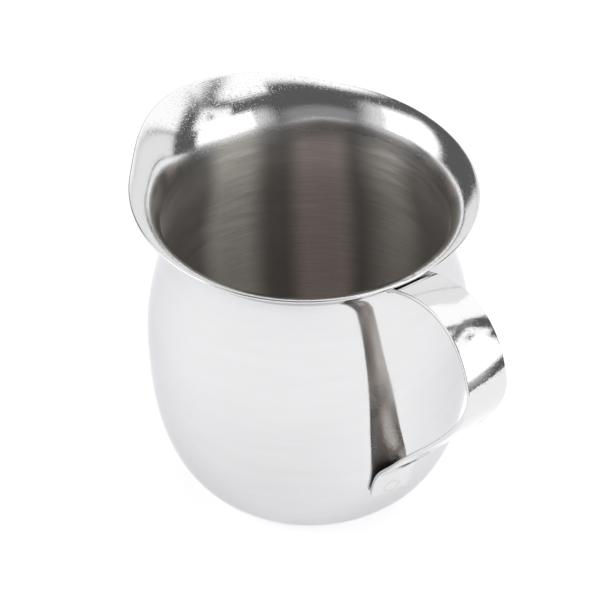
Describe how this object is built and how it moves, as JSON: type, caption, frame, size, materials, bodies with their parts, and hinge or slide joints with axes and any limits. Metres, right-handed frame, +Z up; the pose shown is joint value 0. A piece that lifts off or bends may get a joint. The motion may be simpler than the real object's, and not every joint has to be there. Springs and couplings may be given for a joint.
{
  "type": "cream jug",
  "caption": "Small bell-shaped metal cream jug with a round belly, drawn-in neck, flared rim, broad pouring lip and a bent strap handle.",
  "frame": {"origin": "centre of the flat underside, on the plane the jug stands on", "axes": "+Z up along the axis of the bowl, +X towards the handle, the pouring lip points along -X"},
  "size_m": [0.0934, 0.0656, 0.0718],
  "materials": {
    "shell_steel": "mirror polished outside, satin brushed inside",
    "strap_steel": "mirror polished",
    "weld_steel": "dull, as welded"
  },
  "bodies": {
    "root": {"body_shell": "shell_steel", "handle_strap": "strap_steel", "weld_upper": "weld_steel", "weld_lower": "weld_steel"}
  },
  "joints": []
}
